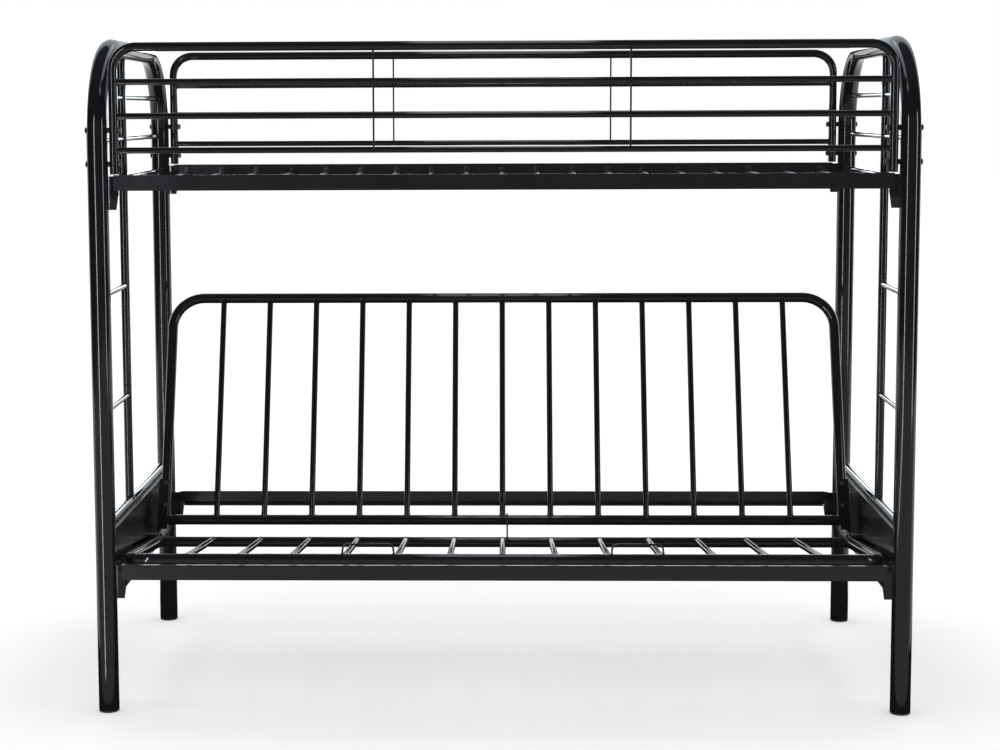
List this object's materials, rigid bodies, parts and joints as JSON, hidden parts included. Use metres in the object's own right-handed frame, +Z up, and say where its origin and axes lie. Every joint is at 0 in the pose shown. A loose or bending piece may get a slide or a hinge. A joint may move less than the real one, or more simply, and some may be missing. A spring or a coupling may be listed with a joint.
{
  "type": "bunk bed with convertible futon",
  "caption": "Metal bunk bed: slatted upper bunk with guardrails on two ladder end frames, over a slide-out futon seat with a reclining back.",
  "frame": {"origin": "floor level, midway between the legs", "axes": "+X along the bed, to the right as seen from the front; -Y towards the front, where the futon pulls out; +Z up"},
  "size_m": [2.0002, 0.97, 1.65],
  "materials": {
    "end_frame": "gloss black powder coat on steel tube",
    "guardrail": "gloss black powder coat on steel tube",
    "slat": "gloss black powder coat on steel tube",
    "rail": "satin black powder coat on steel angle",
    "side_plate": "satin black powder coat on steel sheet",
    "futon_frame": "gloss black powder coat on steel tube",
    "hinge_bracket": "gloss black powder coat on steel angle",
    "fastener": "black coated bolts, pins and nuts",
    "wire_link": "black coated steel wire",
    "foot_cap": "black plastic tube plug",
    "spacer": "black plastic ring"
  },
  "bodies": {
    "bed_frame": {"end_frame_left": "end_frame", "end_frame_right": "end_frame", "foot_cap_back_left": "foot_cap", "foot_cap_back_right": "foot_cap", "foot_cap_front_left": "foot_cap", "foot_cap_front_right": "foot_cap", "futon_side_plate_left": "side_plate", "futon_side_plate_right": "side_plate", "guard_bolt_back_left_high": "fastener", "guard_bolt_back_left_low": "fastener", "guard_bolt_back_right_high": "fastener", "guard_bolt_back_right_low": "fastener", "guard_bolt_front_left_high": "fastener", "guard_bolt_front_left_low": "fastener", "guard_bolt_front_right_high": "fastener", "guard_bolt_front_right_low": "fastener", "guard_spacer_back_left_high": "spacer", "guard_spacer_back_left_low": "spacer", "guard_spacer_back_right_high": "spacer", "guard_spacer_back_right_low": "spacer", "guard_spacer_front_left_high": "spacer", "guard_spacer_front_left_low": "spacer", "guard_spacer_front_right_high": "spacer", "guard_spacer_front_right_low": "spacer", "guardrail_back": "guardrail", "guardrail_front": "guardrail", "lower_rail_back": "rail", "lower_rail_front": "rail", "slat_01": "slat", "slat_02": "slat", "slat_03": "slat", "slat_04": "slat", "slat_05": "slat", "slat_06": "slat", "slat_07": "slat", "slat_08": "slat", "slat_09": "slat", "slat_10": "slat", "slat_11": "slat", "slat_12": "slat", "slat_13": "slat", "slat_14": "slat", "slat_15": "slat", "slat_16": "slat", "slat_17": "slat", "slat_18": "slat", "slat_19": "slat", "upper_rail_back": "rail", "upper_rail_front": "rail"},
    "futon_seat": {"seat_frame": "futon_frame", "hinge_pin_left": "fastener", "hinge_pin_right": "fastener"},
    "futon_back": {"back_frame": "futon_frame", "hinge_bracket_left": "hinge_bracket", "hinge_bracket_right": "hinge_bracket", "bracket_bolt_left_high": "fastener", "bracket_bolt_left_low": "fastener", "bracket_bolt_right_high": "fastener", "bracket_bolt_right_low": "fastener"},
    "link": {"centre_link": "wire_link"}
  },
  "joints": [
    {"name": "futon_slide", "type": "slide", "parent": "bed_frame", "child": "futon_seat", "axis": [0, -0.9925, 0.1219], "range_m": [0, 0.285]},
    {"name": "futon_back_fold", "type": "hinge", "parent": "futon_seat", "child": "futon_back", "pos_m": [0, 0.068, 0.326], "axis": [-1, 0, 0], "range_deg": [0, 65.85]},
    {"name": "link_swing", "type": "hinge", "parent": "futon_back", "child": "link", "pos_m": [0, 0.08449, 0.36895], "axis": [1, 0, 0], "range_deg": [0, 38.05]}
  ],
  "couplings": [
    {"joint": "futon_back_fold", "follows": "futon_slide", "rad_per_m": 4.0296},
    {"joint": "link_swing", "follows": "futon_slide", "rad_per_m": 2.3271}
  ]
}
